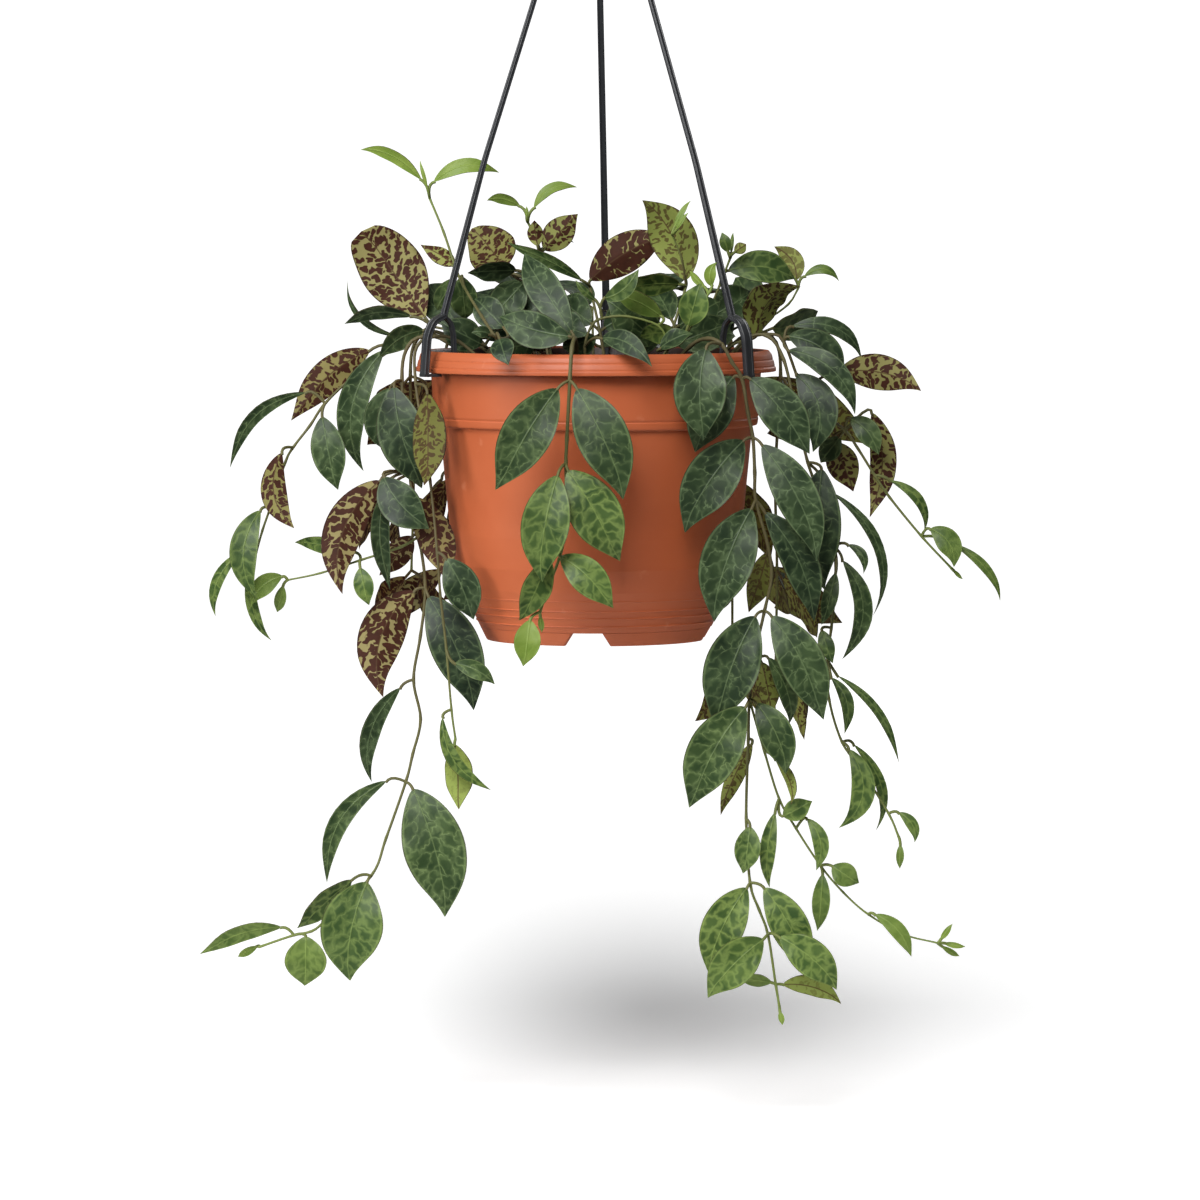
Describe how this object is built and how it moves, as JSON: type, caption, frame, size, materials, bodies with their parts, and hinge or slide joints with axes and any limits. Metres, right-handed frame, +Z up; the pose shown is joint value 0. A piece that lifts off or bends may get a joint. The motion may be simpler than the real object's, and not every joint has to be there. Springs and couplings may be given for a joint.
{
  "type": "hanging potted zebra basket vine",
  "caption": "Trailing mottled-leaf basket vine in a terracotta plastic pot, carried by a black moulded three-arm hanger with a hook.",
  "frame": {"origin": "the point inside the top of the hanger's hook where it bears on what carries it", "axes": "+Z up along the hanger's shank, +X to the viewer's right, -Y towards the pictured front"},
  "size_m": [0.4005, 0.2387, 0.6426],
  "materials": {
    "pot": "moulded, semi-matt terracotta",
    "hanger": "moulded, satin black",
    "soil": "crumbly potting mix",
    "foliage": "satin leaf, dark green with a paler net, maroon blotches underneath"
  },
  "bodies": {
    "root": {"pot": "pot", "hanger": "hanger", "soil": "soil", "stem_front_centre": "foliage", "stem_crown_tall": "foliage", "stem_crown_left": "foliage", "stem_crown_mid": "foliage", "stem_crown_centre": "foliage", "stem_crown_arch": "foliage", "stem_crown_right": "foliage", "stem_crown_young": "foliage", "stem_right_shoot": "foliage", "stem_right_crown": "foliage", "stem_right_tip": "foliage", "stem_right_outer": "foliage", "stem_right_mid": "foliage", "stem_right_front": "foliage", "stem_left_long": "foliage", "stem_left_inner": "foliage", "stem_left_outer": "foliage", "stem_rear_right_side": "foliage", "stem_rear_right": "foliage", "stem_rear_centre_right": "foliage", "stem_rear_centre": "foliage", "stem_rear_centre_left": "foliage", "stem_rear_left": "foliage", "stem_rear_left_side": "foliage", "shoot_rear_right": "foliage", "shoot_rear_centre": "foliage", "shoot_rear_left": "foliage", "shoot_middle": "foliage", "shoot_middle_left": "foliage"}
  },
  "joints": []
}
